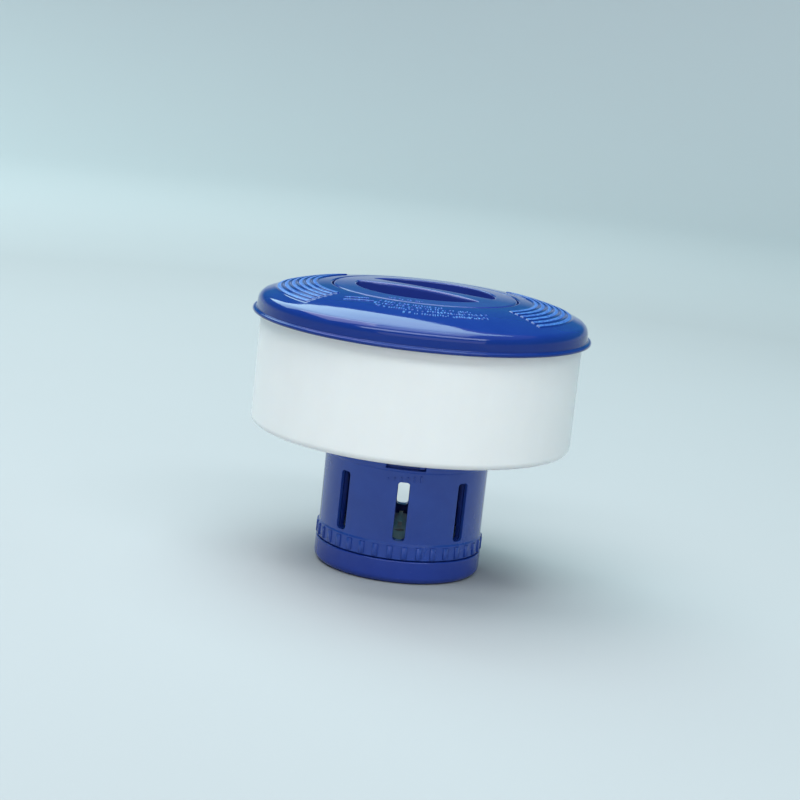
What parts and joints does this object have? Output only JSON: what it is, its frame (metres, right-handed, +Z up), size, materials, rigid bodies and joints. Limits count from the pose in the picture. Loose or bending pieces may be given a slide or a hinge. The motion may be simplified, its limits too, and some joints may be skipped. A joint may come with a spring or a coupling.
{
  "type": "floating chlorine dispenser",
  "caption": "Round pool float with a domed deck, a twist-lock lid and a tablet canister below, whose vented lower end has a turning dosing ring and a weighted base.",
  "frame": {"origin": "centre of the base cap's underside, where the upright dispenser rests on a flat surface", "axes": "+Z up along the float's axis, towards the lid; -Y is the front, where the dashed marks are; +X is to the right seen from the front"},
  "size_m": [0.196, 0.196, 0.1638],
  "materials": {
    "deck_blue": "gloss",
    "lid_blue": "gloss",
    "drum_white": "satin",
    "foam_white": "matte",
    "canister_blue": "satin",
    "ring_blue": "satin",
    "cap_blue": "satin",
    "lug_white": "satin",
    "grate_white": "satin",
    "ballast_grey": "satin",
    "seal_rubber": "matte",
    "galvanised_steel": "satin",
    "stainless_steel": "polished"
  },
  "bodies": {
    "root": {"deck_cover": "deck_blue", "float_drum": "drum_white", "deck_seal": "seal_rubber", "lower_foam_ring": "foam_white", "upper_foam_ring": "foam_white", "canister": "canister_blue", "canister_gasket": "seal_rubber", "neck_o_ring": "seal_rubber", "dial_o_ring": "seal_rubber", "tablet_grate": "grate_white", "base_cap": "cap_blue", "ballast_disc_1": "galvanised_steel", "ballast_disc_2": "galvanised_steel", "ballast_disc_3": "galvanised_steel", "ballast_plate": "ballast_grey", "base_screws": "stainless_steel"},
    "lid_seal": {"lid_o_ring": "seal_rubber"},
    "lid": {"twist_lid": "lid_blue", "lid_lug_ring": "lug_white"},
    "dosing": {"dosing_ring": "ring_blue"}
  },
  "joints": [
    {"name": "lid_lift", "type": "slide", "parent": "root", "child": "lid_seal", "axis": [0, 0, 1], "range_m": [0, 0.1]},
    {"name": "lid_twist", "type": "hinge", "parent": "lid_seal", "child": "lid", "pos_m": [0, 0, 0.155], "axis": [0, 0, 1], "range_deg": [-38, 0]},
    {"name": "dosing_ring_turn", "type": "hinge", "parent": "root", "child": "dosing", "pos_m": [0, 0, 0.042], "axis": [0, 0, 1], "range_deg": [0, 22.5]}
  ]
}
